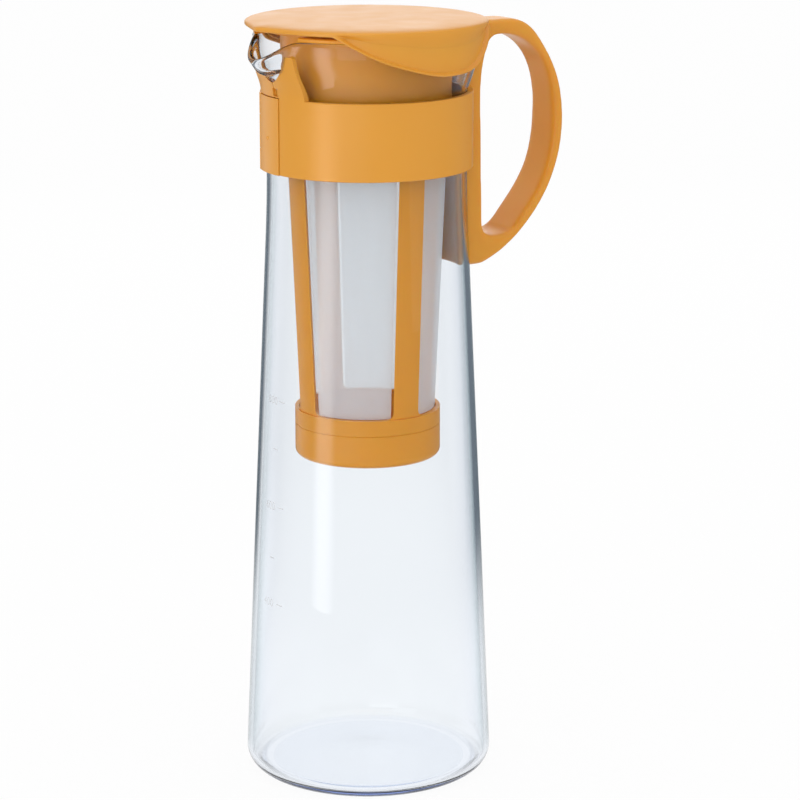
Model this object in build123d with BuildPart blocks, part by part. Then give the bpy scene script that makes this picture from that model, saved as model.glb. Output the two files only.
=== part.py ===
from build123d import *
import os
from math import cos, degrees, radians, sin

# Cold brew coffee maker: a tapered glass jug with a pulled spout, a plastic neck band with a loop
# handle, a hanging strainer and a lid.
# Millimetres. The origin is the centre of the jug's foot. +Z is up, +X points to the handle and -X to
# the spout.

os.makedirs("parts", exist_ok=True)

# ---------------------------------------------------------------- driving dimensions

# Glass jug
foot_radius = 48.9            # where the cone would meet the table
foot_corner_radius = 8.0
glass_wall = 2.0
glass_floor = 4.0
shoulder_radius = 39.8
shoulder_length = 40.0        # curve from the cone to the straight neck
neck_radius = 38.5
neck_margin = 1.2             # straight neck below the band
neck_top_height = 270.5
flare_low_rise = 7.0          # the flare's two shaping points, up and out from the neck
flare_low_spread = 2.2
flare_high_rise = 14.4
flare_high_spread = 4.2
rim_spread = 4.9
rim_rise = 22.1

# Pulled spout: circles that grow and tip forward from the neck to the lip
spout_root_radius = 4.5
spout_root_inset = 5.0        # centre of the root circle, in from the neck
spout_low_radius = 6.5
spout_low_tilt = 10.0
spout_low_inset = 3.2
spout_low_rise = 7.0
spout_high_radius = 9.6
spout_high_tilt = 26.0
spout_high_inset = 1.0
spout_high_rise = 13.6
spout_lip_radius = 12.2
spout_lip_tilt = 38.0
spout_lip_reach = 2.2         # centre of the lip circle, out from the neck
spout_lip_drop = 1.9          # and below the rim

# Neck band
band_clearance = 0.2          # to the glass
band_wall = 2.0
band_height = 29.3
band_edge_radius = 0.4
split_gap = 0.5
horn_base_half_width = 15.9   # the two horns beside the spout
horn_top_half_width = 15.0
horn_height = 16.5
horn_wall = 1.4
horn_clearance = 0.3
horn_root = 2.0
horn_corner_radius = 1.0
pocket_width = 3.6            # small catch pocket above the flap
pocket_height = 3.0
pocket_depth = 0.8
pocket_shift = 0.7
pocket_rise = 0.5

# Clasp flap on the band and its hinge pin
flap_proud = 0.5
flap_wall = 1.4
flap_clearance = 0.3
flap_free_angle = 3.6         # past the middle of the spout
flap_edge_radius = 0.3
hinge_angle = 22.0            # place of the hinge round the band, from the middle of the spout
hinge_inset = 0.6             # pin centre below the band's face
pin_radius = 0.5
pin_clearance = 0.05
pin_end_inset = 1.0
barrel_radius = 1.25          # the hinge's barrels
end_barrel_length = 8.0
hook_width = 0.9
hook_inset = 0.3
hook_depth = 0.6
hook_height = 8.0
pip_radius = 0.9
pip_rise = 0.5
pip_angle = 8.0
pip_drop = 16.0               # below the band's top

# Handle
handle_top_half_width = 7.4
handle_foot_half_width = 10.0
plate_wall = 7.4              # back plate, out from the band
plate_lean = 2.8              # how far the plate leans out towards its top
handle_top_rise = 1.6         # above the rim
handle_drop = 42.2            # below the band
grip_room = 34.3              # for the fingers, between the plate and the grip
grip_wall = 4.8
grip_top_wall = 5.9
grip_foot_wall = 10.8
grip_widest_rise = 14.0       # where the grip reaches furthest, above the band's bottom
top_reach = 13.0              # straight top, out from the plate
outer_corner_inset = 9.9      # shaping point of the outer top corner, in from the grip and below the top
outer_corner_drop = 9.7
outer_curl_inset = 8.6        # shaping points down the outside, in from the grip and above the foot
outer_curl_rise = 25.5
outer_foot_reach = 14.2
outer_foot_rise = 7.8
outer_end_inset = 0.6         # where the outside meets the foot, in from the plate
outer_end_slope = 21.7
hole_corner_reach = 6.0       # corners of the finger hole next to the plate
hole_corner_rise = 5.0
hole_shoulder_inset = 10.6    # shaping points round the hole, in from the grip
hole_shoulder_drop = 10.8
hole_curl_inset = 6.5
hole_curl_rise = 29.5
hole_heel_inset = 16.2
hole_heel_rise = 17.0
plate_bend_drop = 11.5        # where the plate starts to lean into the hole's top
handle_edge_radius = 1.2
handle_clearance = 0.4        # to the glass
rail_neck_width = 5.0         # T rail on the band that carries the handle
rail_head_width = 9.0
rail_neck_length = 1.2
rail_head_length = 1.8
rail_clearance = 0.15
rail_end_inset = 3.0

# Strainer frame
basket_bottom_radius = 27.6
basket_top_radius = 31.9
collar_top_radius = 33.0
frame_wall = 2.0
window_length = 97.0
window_top_drop = 26.5        # below the neck's top
window_angles = (225, 315, 45, 135)
rib_angles = (180, 270, 0, 90)
window_corner_radius = 2.7
rib_width = 11.2
ring_radius = 28.3
ring_height = 6.2             # below the windows
ring_wall = 1.6
flange_inset = 0.4            # in from the rim's edge
flange_thickness = 1.8
flange_edge_radius = 0.5
flange_cut_half_width = 15.7  # the flange is cut back at the spout
flange_cut_margin = 1.0
seam_chamfer = 0.25

# Mesh panels
mesh_thickness = 0.4
mesh_inset = 1.2              # from the frame's outer face
mesh_clearance = 0.05

# Strainer cap
cap_height = 12.8
cap_floor = 1.6
cap_edge_radius = 2.5
spigot_height = 5.0
spigot_wall = 1.3
spigot_clearance = 0.3

# Lid
lid_overhang = 2.9            # past the rim
lid_tip_radius = 5.0
lid_tip_reach = 44.0          # centre of the tip's circle from the axis
lid_thickness = 2.6
lid_edge_radius = 1.2
lid_gap = 1.2                 # between the flange and the lid's plate
skirt_wall = 1.2
skirt_draft = 0.6             # how far the skirt draws in at its lowest point
skirt_depth = 15.7
skirt_low_place = 9.0         # shaping points of the skirt's lower edge, along X
skirt_front_place = -34.6
skirt_front_mid_place = -25.0
skirt_mid_place = -10.0
skirt_back_mid_place = 26.6
skirt_back_place = 40.6
skirt_front_mid_depth = 6.6
skirt_mid_depth = 12.5
skirt_back_mid_depth = 12.3
plug_depth = 9.0
plug_wall = 1.2
plug_clearance = 0.5
rest_ring_inset = 4.9         # in from the rim
rest_ring_wall = 1.5

# ---------------------------------------------------------------- derived places

clear_cut = 10.0              # how far a cutting tool runs past what it cuts
rim_radius = neck_radius + rim_spread
rim_height = neck_top_height + rim_rise
neck_bottom_height = neck_top_height - band_height - neck_margin
shoulder_height = neck_bottom_height - shoulder_length
band_inner = neck_radius + band_clearance
band_outer = band_inner + band_wall
band_top_height = neck_top_height
band_bottom_height = band_top_height - band_height
flap_outer = band_outer + flap_proud
flap_inner = flap_outer - flap_wall
flap_top_height = band_top_height - flap_clearance
recess_radius = flap_inner - flap_clearance
recess_end_angle = flap_free_angle + degrees(flap_clearance / band_outer)
hinge_radius = band_outer - hinge_inset
hinge_place = (-hinge_radius * cos(radians(hinge_angle)), hinge_radius * sin(radians(hinge_angle)))
barrel_room_radius = barrel_radius + flap_clearance
spout_angle = 180.0
flange_radius = rim_radius - flange_inset
flange_top_height = rim_height + flange_thickness
window_top_height = neck_top_height - window_top_drop
window_bottom_height = window_top_height - window_length
ring_bottom_height = window_bottom_height - ring_height
ring_inner = ring_radius - ring_wall
cap_bottom_height = ring_bottom_height - cap_height
spigot_radius = ring_inner - spigot_clearance
spigot_inner = spigot_radius - spigot_wall
lid_radius = rim_radius + lid_overhang
lid_bottom_height = flange_top_height + lid_gap


def flare_curve(neck_side, outset):
    """The rise from the neck to the rim, set out from the glass's outer face."""
    low = (neck_radius + flare_low_spread + outset, neck_top_height + flare_low_rise)
    high = (neck_radius + flare_high_spread + outset, neck_top_height + flare_high_rise)
    rim = (rim_radius + outset, rim_height)
    return Spline((neck_side, neck_top_height), low, high, rim, tangents=[(0, 1), (0, 1)])


def vessel_outline(outset, bottom, corner_radius, top):
    """Half outline of the jug, set out from the glass's outer face and closed along the axis."""
    foot = (foot_radius + outset, bottom)
    shoulder = (shoulder_radius + outset, shoulder_height)
    neck_low = (neck_radius + outset, neck_bottom_height)
    cone_lean = (shoulder_radius - foot_radius) / shoulder_height
    with BuildSketch(Plane.XZ) as outline:
        with BuildLine():
            Line((0, bottom), foot)
            Line(foot, shoulder)
            Spline(shoulder, neck_low, tangents=[(cone_lean, 1), (0, 1)])
            Line(neck_low, (neck_radius + outset, neck_top_height))
            flare = flare_curve(neck_radius + outset, outset)
            if top > rim_height:
                Line(flare @ 1, (rim_radius + outset, top))
            Polyline((rim_radius + outset, top), (0, top), (0, bottom))
        jug_face = make_face()
        fillet(jug_face.vertices().group_by(Axis.Y)[0].sort_by(Axis.X)[-1], radius=corner_radius)
    return outline.sketch


def spout_circle(reach, height, tilt, radius):
    """One cross-section of the spout, on a plane tipped down towards the spout's tip."""
    lean = radians(tilt)
    section = Plane(origin=(-reach, 0, height), x_dir=(0, 1, 0), z_dir=(-sin(lean), 0, cos(lean)))
    with BuildSketch(section) as circle:
        Circle(radius)
    return circle.sketch


def spout_sections(outset):
    """The spout's throat as circles to loft, from its root in the neck to its lip."""
    root_reach = neck_radius - spout_root_inset
    low_reach = neck_radius - spout_low_inset
    high_reach = neck_radius - spout_high_inset
    lip_reach = neck_radius + spout_lip_reach
    low_height = neck_top_height + spout_low_rise
    high_height = neck_top_height + spout_high_rise
    lip_height = rim_height - spout_lip_drop
    return [
        spout_circle(root_reach, neck_top_height, 0, spout_root_radius + outset),
        spout_circle(low_reach, low_height, spout_low_tilt, spout_low_radius + outset),
        spout_circle(high_reach, high_height, spout_high_tilt, spout_high_radius + outset),
        spout_circle(lip_reach, lip_height, spout_lip_tilt, spout_lip_radius + outset),
    ]


def ring_sector(inner, outer, first_angle, last_angle, height):
    """Plan of a piece of a ring between two angles from +X, at a height."""
    sweep_angle = last_angle - first_angle
    with BuildSketch(Plane.XY.offset(height)) as sector:
        with BuildLine():
            outer_arc = CenterArc((0, 0), outer, first_angle, sweep_angle)
            inner_arc = CenterArc((0, 0), inner, first_angle, sweep_angle)
            Line(inner_arc @ 0, outer_arc @ 0)
            Line(inner_arc @ 1, outer_arc @ 1)
        make_face()
    return sector.sketch


def disc(place, radius, height):
    """Plan of a circle at a place and a height."""
    with BuildSketch(Plane.XY.offset(height)) as plan:
        with Locations(place):
            Circle(radius)
    return plan.sketch


def rail_plan(margin, height):
    """Plan of the T rail at the back of the band, grown by a margin."""
    head_start = band_outer + rail_neck_length
    with BuildSketch(Plane.XY.offset(height)) as plan:
        with Locations((band_inner + band_wall / 2, 0)):
            neck_length = rail_neck_length + band_wall
            Rectangle(neck_length, rail_neck_width + 2 * margin, align=(Align.MIN, Align.CENTER))
        with Locations((head_start - margin, 0)):
            head_length = rail_head_length + 2 * margin
            Rectangle(head_length, rail_head_width + 2 * margin, align=(Align.MIN, Align.CENTER))
    return plan.sketch


def basket_radius(height):
    """Outer radius of the strainer's tapered basket."""
    share = (height - window_bottom_height) / (window_top_height - window_bottom_height)
    return basket_bottom_radius + share * (basket_top_radius - basket_bottom_radius)


def window_half_width(height):
    """Half width of a window, across its diagonal, that leaves ribs of one width."""
    half_rib = rib_width / 2
    rib_edge = (basket_radius(height) ** 2 - half_rib**2) ** 0.5
    return (rib_edge - half_rib) / 2**0.5


def window_outline(angle, margin):
    """Outline of one window, on the upright plane through the axis that faces the angle."""
    low = window_bottom_height + margin
    high = window_top_height - margin
    low_half = window_half_width(low) - margin
    high_half = window_half_width(high) - margin
    turn = radians(angle)
    facing = Plane(origin=(0, 0, 0), x_dir=(-sin(turn), cos(turn), 0), z_dir=(cos(turn), sin(turn), 0))
    with BuildSketch(facing) as window:
        with BuildLine():
            Polyline(
                (-low_half, low), (low_half, low), (high_half, high), (-high_half, high), close=True,
            )
        outline = make_face()
        fillet(outline.vertices(), radius=window_corner_radius - margin)
    return window.sketch


# ---------------------------------------------------------------- glass jug

with BuildPart() as glass_carafe:
    revolve(vessel_outline(0, 0, foot_corner_radius, rim_height), axis=Axis.Z)
    loft(spout_sections(0))
    revolve(
        vessel_outline(
            -glass_wall, glass_floor, foot_corner_radius - glass_wall, rim_height + clear_cut,
        ),
        axis=Axis.Z, mode=Mode.SUBTRACT,
    )
    loft(spout_sections(-glass_wall), mode=Mode.SUBTRACT)
    extrude(spout_sections(-glass_wall)[-1], amount=clear_cut, mode=Mode.SUBTRACT)
    extrude(disc((0, 0), rim_radius + clear_cut, rim_height), amount=clear_cut, mode=Mode.SUBTRACT)

glass_carafe.part.label = "glass_carafe"
export_step(glass_carafe.part, "parts/glass_carafe.step")

# ---------------------------------------------------------------- neck band

horn_root_height = neck_top_height - horn_root
horn_top_height = neck_top_height + horn_height

with BuildPart() as horns:
    with BuildSketch(Plane.XZ):
        with BuildLine():
            inner_flare = flare_curve(neck_radius + horn_clearance, horn_clearance)
            outer_flare = flare_curve(band_outer, horn_clearance + horn_wall)
            inner_root = (neck_radius + horn_clearance, horn_root_height)
            outer_root = (band_outer, horn_root_height)
            Polyline(inner_flare @ 0, inner_root, outer_root, outer_flare @ 0)
            Line(inner_flare @ 1, outer_flare @ 1)
        make_face()
    revolve(axis=Axis.Z)
    with BuildSketch(Plane.YZ):
        with BuildLine():
            Polyline(
                (-horn_base_half_width, horn_root_height), (horn_base_half_width, horn_root_height),
                (horn_top_half_width, horn_top_height), (-horn_top_half_width, horn_top_height),
                close=True,
            )
        shield = make_face()
        fillet(shield.vertices().group_by(Axis.Y)[-1], radius=horn_corner_radius)
    extrude(amount=-(rim_radius + clear_cut), mode=Mode.INTERSECT)
    loft(spout_sections(horn_clearance), mode=Mode.SUBTRACT)

with BuildPart() as neck_band:
    with BuildSketch(Plane.XZ) as band_profile:
        with Locations((band_inner, band_bottom_height)):
            Rectangle(band_wall, band_height, align=(Align.MIN, Align.MIN))
        fillet(band_profile.vertices().group_by(Axis.X)[-1], radius=band_edge_radius)
    revolve(axis=Axis.Z)
    add(horns.part)
    rail_bottom_height = band_bottom_height + rail_end_inset
    extrude(rail_plan(0, rail_bottom_height), amount=band_height - 2 * rail_end_inset)
    # Recess that the flap lies in, open at the bottom
    recess = ring_sector(
        recess_radius, flap_outer, spout_angle - hinge_angle, spout_angle + recess_end_angle,
        band_bottom_height,
    )
    extrude(recess, amount=band_height, mode=Mode.SUBTRACT)
    # Hinge: a barrel at each end of the band, and room between them for the flap's own barrel
    room_bottom_height = band_bottom_height + end_barrel_length
    room_length = band_height - 2 * end_barrel_length
    extrude(disc(hinge_place, barrel_radius, band_bottom_height), amount=end_barrel_length)
    extrude(disc(hinge_place, barrel_radius, band_top_height), amount=-end_barrel_length)
    barrel_room = disc(hinge_place, barrel_room_radius, room_bottom_height)
    extrude(barrel_room, amount=room_length, mode=Mode.SUBTRACT)
    extrude(
        disc(hinge_place, pin_radius + pin_clearance, band_bottom_height),
        amount=band_height - pin_end_inset, mode=Mode.SUBTRACT,
    )
    # Window that the flap's hook drops into
    hook_end_angle = flap_free_angle - degrees(hook_inset / flap_inner)
    hook_start_angle = hook_end_angle - degrees(hook_width / flap_inner)
    hook_gap_angle = degrees(flap_clearance / flap_inner)
    hook_bottom_height = (band_bottom_height + band_top_height - hook_height) / 2
    catch_window = ring_sector(
        neck_radius, flap_outer, spout_angle + hook_start_angle - hook_gap_angle,
        spout_angle + hook_end_angle + hook_gap_angle, hook_bottom_height - flap_clearance,
    )
    extrude(catch_window, amount=hook_height + 2 * flap_clearance, mode=Mode.SUBTRACT)
    # Small pocket above the flap, and the split that lets the band open
    with BuildSketch(Plane.YZ.offset(-(band_outer - pocket_depth))):
        with Locations((-pocket_shift, band_top_height + pocket_rise)):
            Rectangle(pocket_width, pocket_height, align=(Align.CENTER, Align.MIN))
    extrude(amount=-clear_cut, mode=Mode.SUBTRACT)
    with BuildSketch(Plane.YZ):
        with Locations((0, band_bottom_height)):
            Rectangle(split_gap, band_height + rim_rise, align=(Align.CENTER, Align.MIN))
    extrude(amount=-(rim_radius + clear_cut), mode=Mode.SUBTRACT)

neck_band.part.label = "neck_band"
export_step(neck_band.part, "parts/neck_band.step")

# ---------------------------------------------------------------- clasp flap and hinge pin

with BuildPart() as band_latch:
    flap = ring_sector(
        flap_inner, flap_outer, spout_angle - hinge_angle, spout_angle + flap_free_angle,
        band_bottom_height,
    )
    extrude(flap, amount=flap_top_height - band_bottom_height)
    free_end = band_latch.faces().sort_by(Axis.Y)[0]
    fillet(free_end.edges().filter_by(Axis.Z).sort_by(Axis.X)[0], radius=flap_edge_radius)
    hinge_gap = disc(hinge_place, barrel_room_radius, band_bottom_height)
    extrude(hinge_gap, amount=band_height, mode=Mode.SUBTRACT)
    barrel_bottom_height = room_bottom_height + flap_clearance
    barrel_length = room_length - 2 * flap_clearance
    extrude(disc(hinge_place, barrel_radius, barrel_bottom_height), amount=barrel_length)
    web_start_angle = spout_angle - hinge_angle
    web_end_angle = web_start_angle + degrees(2 * barrel_room_radius / flap_inner)
    web = ring_sector(
        flap_inner, flap_outer - flap_edge_radius, web_start_angle, web_end_angle, barrel_bottom_height,
    )
    extrude(web, amount=barrel_length)
    extrude(
        disc(hinge_place, pin_radius + pin_clearance, band_bottom_height),
        amount=band_height, mode=Mode.SUBTRACT,
    )
    hook = ring_sector(
        flap_inner - hook_depth, flap_inner + flap_wall / 2, spout_angle + hook_start_angle,
        spout_angle + hook_end_angle, hook_bottom_height,
    )
    extrude(hook, amount=hook_height)
    pip_reach = flap_outer + pip_rise - pip_radius
    pip_turn = radians(spout_angle - pip_angle)
    with Locations((pip_reach * cos(pip_turn), pip_reach * sin(pip_turn), band_top_height - pip_drop)):
        Sphere(pip_radius)

band_latch.part.label = "band_latch"
export_step(band_latch.part, "parts/band_latch.step")

with BuildPart() as latch_pin:
    pin_bottom_height = band_bottom_height + pin_end_inset
    extrude(disc(hinge_place, pin_radius, pin_bottom_height), amount=band_height - 2 * pin_end_inset)

latch_pin.part.label = "latch_pin"
export_step(latch_pin.part, "parts/latch_pin.step")

# ---------------------------------------------------------------- handle

plate_back = band_outer + plate_wall
grip_inner = plate_back + grip_room
grip_outer = grip_inner + grip_wall
handle_top_height = rim_height + handle_top_rise
handle_bottom_height = band_bottom_height - handle_drop
grip_widest_height = band_bottom_height + grip_widest_rise
handle_front = (neck_radius, handle_top_height)
handle_foot = (neck_radius, handle_bottom_height)
grip_widest = (grip_outer, grip_widest_height)
hole_widest = (grip_inner, grip_widest_height)
outer_end = (plate_back - outer_end_inset, handle_bottom_height)
outer_end_direction = (-cos(radians(outer_end_slope)), -sin(radians(outer_end_slope)))
hole_top = (plate_back + plate_lean + hole_corner_reach, handle_top_height - grip_top_wall)
hole_foot = (plate_back + hole_corner_reach, handle_bottom_height + grip_foot_wall)
plate_low = (plate_back, handle_bottom_height + grip_foot_wall + hole_corner_rise)
plate_high = (plate_back, grip_widest_height)
plate_bend = (plate_back + plate_lean, handle_top_height - plate_bend_drop)

with BuildPart() as handle:
    with BuildSketch(Plane.XZ):
        with BuildLine():
            outer_top = Spline(
                (plate_back + top_reach, handle_top_height),
                (grip_outer - outer_corner_inset, handle_top_height - outer_corner_drop),
                grip_widest, tangents=[(1, 0), (0, -1)],
            )
            outer_foot = Spline(
                grip_widest, (grip_outer - outer_curl_inset, handle_bottom_height + outer_curl_rise),
                (plate_back + outer_foot_reach, handle_bottom_height + outer_foot_rise), outer_end,
                tangents=[(0, -1), outer_end_direction],
            )
            Polyline(outer_top @ 0, handle_front, handle_foot, outer_foot @ 1)
        make_face()
        with BuildLine():
            hole_shoulder = (grip_inner - hole_shoulder_inset, handle_top_height - hole_shoulder_drop)
            hole_curl = (grip_inner - hole_curl_inset, handle_bottom_height + hole_curl_rise)
            hole_heel = (grip_inner - hole_heel_inset, handle_bottom_height + hole_heel_rise)
            Spline(hole_top, hole_shoulder, hole_widest, tangents=[(1, 0), (0, -1)])
            Spline(hole_widest, hole_curl, hole_heel, hole_foot, tangents=[(0, -1), (-1, 0)])
            Spline(hole_foot, plate_low, tangents=[(-1, 0), (0, 1)])
            Line(plate_low, plate_high)
            Spline(plate_high, plate_bend, hole_top, tangents=[(0, 1), (1, 0)])
        make_face(mode=Mode.SUBTRACT)
    extrude(amount=handle_foot_half_width, both=True)
    # The handle is wider towards its foot
    with BuildSketch(Plane.YZ):
        with BuildLine():
            Polyline(
                (-handle_foot_half_width, handle_bottom_height),
                (handle_foot_half_width, handle_bottom_height),
                (handle_top_half_width, handle_top_height), (-handle_top_half_width, handle_top_height),
                close=True,
            )
        make_face()
    extrude(amount=grip_outer, mode=Mode.INTERSECT)
    side_faces = handle.faces().sort_by(Axis.Y)
    fillet(side_faces[0].edges() + side_faces[-1].edges(), radius=handle_edge_radius)
    revolve(
        vessel_outline(handle_clearance, -clear_cut, foot_corner_radius, rim_height + clear_cut),
        axis=Axis.Z, mode=Mode.SUBTRACT,
    )
    extrude(
        disc((0, 0), band_outer + rail_clearance, band_bottom_height - rail_clearance),
        amount=band_height + 2 * rail_clearance, mode=Mode.SUBTRACT,
    )
    # Slot for the band's rail, open at the top, where the handle is slid down over it
    extrude(
        rail_plan(rail_clearance, rail_bottom_height - rail_clearance), amount=band_height + rim_rise,
        mode=Mode.SUBTRACT,
    )

handle.part.label = "handle"
export_step(handle.part, "parts/handle.step")

# ---------------------------------------------------------------- strainer frame

with BuildPart() as strainer_frame:
    with BuildSketch(Plane.XZ) as frame_profile:
        with BuildLine():
            Polyline(
                (ring_inner, ring_bottom_height), (ring_radius, ring_bottom_height),
                (ring_radius, window_bottom_height), (basket_bottom_radius, window_bottom_height),
                (basket_top_radius, window_top_height), (collar_top_radius, rim_height),
                (flange_radius, rim_height), (flange_radius, flange_top_height),
                (collar_top_radius - frame_wall, flange_top_height),
                (basket_top_radius - frame_wall, window_top_height),
                (basket_bottom_radius - frame_wall, window_bottom_height),
                (ring_inner, window_bottom_height), close=True,
            )
        frame_face = make_face()
        fillet(frame_face.vertices().group_by(Axis.X)[-1], radius=flange_edge_radius)
        ring_corners = frame_profile.vertices().group_by(Axis.Y)[0]
        chamfer(ring_corners.sort_by(Axis.X)[-1], length=seam_chamfer)
    revolve(axis=Axis.Z)
    for window_angle in window_angles:
        extrude(window_outline(window_angle, 0), amount=rim_radius, mode=Mode.SUBTRACT)
    with BuildSketch(Plane.XY.offset(rim_height)):
        with Locations((-collar_top_radius - flange_cut_margin, 0)):
            Rectangle(rim_radius, 2 * flange_cut_half_width, align=(Align.MAX, Align.CENTER))
    extrude(amount=flange_thickness, mode=Mode.SUBTRACT)

# The frame is one moulding. Its flange, collar, ribs and bottom ring are kept as solids of their own, so
# that each has a simple collision shape.
collar_bottom_height = window_top_height - window_corner_radius
ring_top_height = window_bottom_height + window_corner_radius
frame_storeys = {
    "strainer_flange": (rim_height, flange_top_height),
    "strainer_collar": (collar_bottom_height, rim_height),
    "strainer_ring": (ring_bottom_height, ring_top_height),
}
for storey_name, (storey_bottom, storey_top) in frame_storeys.items():
    with BuildPart() as frame_storey:
        add(strainer_frame.part)
        storey_disc = disc((0, 0), rim_radius, storey_bottom)
        extrude(storey_disc, amount=storey_top - storey_bottom, mode=Mode.INTERSECT)
    frame_storey.part.label = storey_name
    export_step(frame_storey.part, f"parts/{storey_name}.step")

for number, rib_angle in enumerate(rib_angles, 1):
    with BuildPart() as strainer_rib:
        add(strainer_frame.part)
        rib_turn = radians(rib_angle)
        rib_place = (collar_top_radius * cos(rib_turn), collar_top_radius * sin(rib_turn))
        rib_block = disc(rib_place, collar_top_radius / 2, ring_top_height)
        extrude(rib_block, amount=collar_bottom_height - ring_top_height, mode=Mode.INTERSECT)
    strainer_rib.part.label = f"strainer_rib_{number}"
    export_step(strainer_rib.part, f"parts/strainer_rib_{number}.step")

# ---------------------------------------------------------------- mesh panels, one in each window

for number, panel_angle in enumerate(window_angles, 1):
    with BuildPart() as mesh_panel:
        with BuildSketch(Plane.XZ):
            with BuildLine():
                low_outer = basket_bottom_radius - mesh_inset
                high_outer = basket_top_radius - mesh_inset
                Polyline(
                    (low_outer - mesh_thickness, window_bottom_height),
                    (low_outer, window_bottom_height), (high_outer, window_top_height),
                    (high_outer - mesh_thickness, window_top_height), close=True,
                )
            make_face()
        revolve(axis=Axis.Z)
        extrude(window_outline(panel_angle, mesh_clearance), amount=rim_radius, mode=Mode.INTERSECT)
    mesh_panel.part.label = f"mesh_panel_{number}"
    export_step(mesh_panel.part, f"parts/mesh_panel_{number}.step")

# ---------------------------------------------------------------- strainer cap

with BuildPart() as strainer_cap:
    with BuildSketch(Plane.XZ) as cap_profile:
        with BuildLine():
            floor_height = cap_bottom_height + cap_floor
            spigot_top_height = ring_bottom_height + spigot_height
            Polyline(
                (0, cap_bottom_height), (ring_radius, cap_bottom_height),
                (ring_radius, ring_bottom_height), (spigot_radius, ring_bottom_height),
                (spigot_radius, spigot_top_height), (spigot_inner, spigot_top_height),
                (spigot_inner, floor_height), (0, floor_height), close=True,
            )
        make_face()
        fillet(cap_profile.vertices().group_by(Axis.X)[-1].sort_by(Axis.Y)[0], radius=cap_edge_radius)
        chamfer(cap_profile.vertices().group_by(Axis.X)[-1].sort_by(Axis.Y)[-1], length=seam_chamfer)
    revolve(axis=Axis.Z)

strainer_cap.part.label = "strainer_cap"
export_step(strainer_cap.part, "parts/strainer_cap.step")

# ---------------------------------------------------------------- lid

with BuildPart() as lid:
    with BuildSketch(Plane.XY.offset(lid_bottom_height)):
        Circle(lid_radius)
        with Locations((-lid_tip_reach, 0)):
            Circle(lid_tip_radius)
        make_hull()
    extrude(amount=lid_thickness)
    fillet(lid.edges().group_by(Axis.Z)[-1], radius=lid_edge_radius)

lid.part.label = "lid"
export_step(lid.part, "parts/lid.step")

# The lid is one moulding too. Its two skirts and the rings under it are kept as solids of their own.
for number, skirt_side in enumerate((-1, 1), 1):
    with BuildPart() as lid_skirt:
        with BuildSketch(Plane.XZ):
            with BuildLine():
                skirt_bottom_height = lid_bottom_height - skirt_depth
                Polyline(
                    (lid_radius - skirt_wall, lid_bottom_height), (lid_radius, lid_bottom_height),
                    (lid_radius - skirt_draft, skirt_bottom_height),
                    (lid_radius - skirt_draft - skirt_wall, skirt_bottom_height), close=True,
                )
            make_face()
        revolve(axis=Axis.Z)
        with BuildSketch(Plane.XZ):
            with BuildLine():
                lower_edge = Spline(
                    (skirt_front_place, lid_bottom_height),
                    (skirt_front_mid_place, lid_bottom_height - skirt_front_mid_depth),
                    (skirt_mid_place, lid_bottom_height - skirt_mid_depth),
                    (skirt_low_place, skirt_bottom_height),
                    (skirt_back_mid_place, lid_bottom_height - skirt_back_mid_depth),
                    (skirt_back_place, lid_bottom_height),
                )
                Line(lower_edge @ 0, lower_edge @ 1)
            make_face()
        extrude(amount=-skirt_side * lid_radius, mode=Mode.INTERSECT)
    lid_skirt.part.label = f"lid_skirt_{number}"
    export_step(lid_skirt.part, f"parts/lid_skirt_{number}.step")

# Ring that rests on the flange, open at the spout
with BuildPart() as lid_rest_ring:
    with BuildSketch(Plane.XY.offset(flange_top_height)):
        Circle(rim_radius - rest_ring_inset)
        Circle(rim_radius - rest_ring_inset - rest_ring_wall, mode=Mode.SUBTRACT)
        Rectangle(
            rim_radius, 2 * flange_cut_half_width, align=(Align.MAX, Align.CENTER), mode=Mode.SUBTRACT,
        )
    extrude(amount=lid_gap)

lid_rest_ring.part.label = "lid_rest_ring"
export_step(lid_rest_ring.part, "parts/lid_rest_ring.step")

# Ring that plugs the strainer's collar
with BuildPart() as lid_plug_ring:
    with BuildSketch(Plane.XY.offset(lid_bottom_height - plug_depth)):
        Circle(collar_top_radius - frame_wall - plug_clearance)
        Circle(collar_top_radius - frame_wall - plug_clearance - plug_wall, mode=Mode.SUBTRACT)
    extrude(amount=plug_depth)

lid_plug_ring.part.label = "lid_plug_ring"
export_step(lid_plug_ring.part, "parts/lid_plug_ring.step")
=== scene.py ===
import math

import bpy
import numpy as np
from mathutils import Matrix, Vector


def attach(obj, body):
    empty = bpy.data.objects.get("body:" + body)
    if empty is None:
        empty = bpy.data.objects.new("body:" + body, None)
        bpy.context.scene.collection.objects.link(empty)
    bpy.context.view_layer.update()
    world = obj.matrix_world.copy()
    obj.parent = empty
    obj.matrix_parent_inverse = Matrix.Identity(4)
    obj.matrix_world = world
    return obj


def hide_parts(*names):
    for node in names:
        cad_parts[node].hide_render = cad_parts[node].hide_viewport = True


# Looks of the cold brew coffee maker. Blender works in metres. Sizes here are written in millimetres, and are
# turned into metres where a mesh or an object is made.

MM = 0.001
TINY = 1e-6                       # keeps divisions from zero and ranges from losing their last step

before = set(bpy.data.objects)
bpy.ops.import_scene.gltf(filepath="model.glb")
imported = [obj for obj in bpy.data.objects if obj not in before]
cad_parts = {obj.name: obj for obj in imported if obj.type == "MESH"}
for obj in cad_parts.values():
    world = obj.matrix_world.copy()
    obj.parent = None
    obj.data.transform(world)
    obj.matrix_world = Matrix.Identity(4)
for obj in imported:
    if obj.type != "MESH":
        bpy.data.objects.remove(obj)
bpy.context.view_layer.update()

# ---------------------------------------------------------------- camera

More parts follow.
